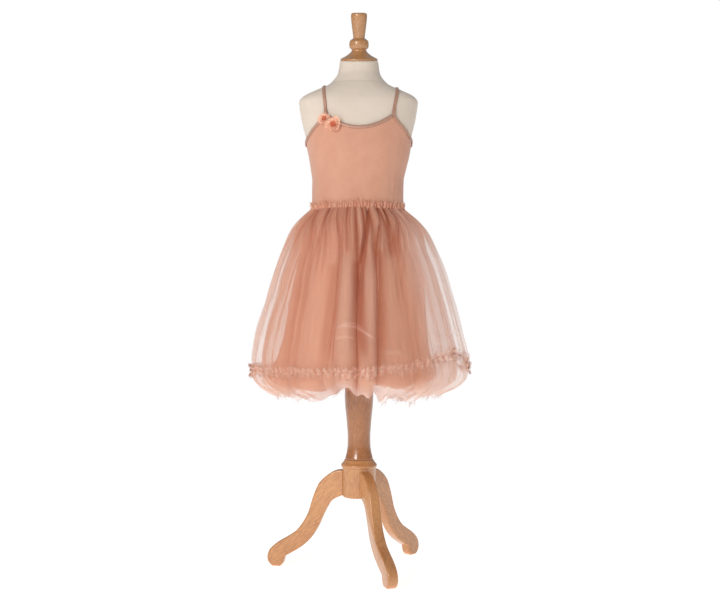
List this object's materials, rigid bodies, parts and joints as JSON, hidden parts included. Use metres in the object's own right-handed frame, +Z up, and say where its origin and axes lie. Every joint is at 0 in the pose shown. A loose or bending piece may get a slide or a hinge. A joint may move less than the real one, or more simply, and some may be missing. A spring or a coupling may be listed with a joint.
{
  "type": "tulle dress on dress form",
  "caption": "Child's sleeveless tulle dress with a gathered skirt and frills, worn by a limbless dress form with a turned finial on a splayed wooden stand.",
  "frame": {"origin": "on the surface it stands on, under the middle of its box; the stand's post stands on the same vertical", "axes": "+Z up along the post, -Y to the dress's front, +X to the left of someone wearing it"},
  "size_m": [0.4308, 0.4045, 1.0635],
  "materials": {
    "form_jersey": "cream stretch jersey over a firm form",
    "pale_wood": "pale varnished hardwood",
    "dark_wood": "turned varnished hardwood in shade",
    "bodice_jersey": "matt peach jersey",
    "satin_binding": "rose-brown satin",
    "skirt_tulle": "sheer peach tulle",
    "skirt_lining": "matt peach lining",
    "organza": "pale peach organza"
  },
  "bodies": {
    "root": {"form_body": "form_jersey", "finial": "pale_wood", "post": "dark_wood", "hub": "pale_wood", "leg_left": "pale_wood", "leg_front": "pale_wood", "leg_right": "pale_wood", "bodice_front": "bodice_jersey", "bodice_back": "bodice_jersey", "armhole_strap_left": "satin_binding", "armhole_strap_right": "satin_binding", "neck_binding_front": "satin_binding", "neck_binding_back": "satin_binding", "tulle_skirt_front": "skirt_tulle", "tulle_skirt_back": "skirt_tulle", "lining_skirt_front": "skirt_lining", "lining_skirt_back": "skirt_lining", "waist_frill": "skirt_tulle", "hem_frill": "skirt_tulle", "flower_1": "organza", "flower_2": "organza"}
  },
  "joints": []
}
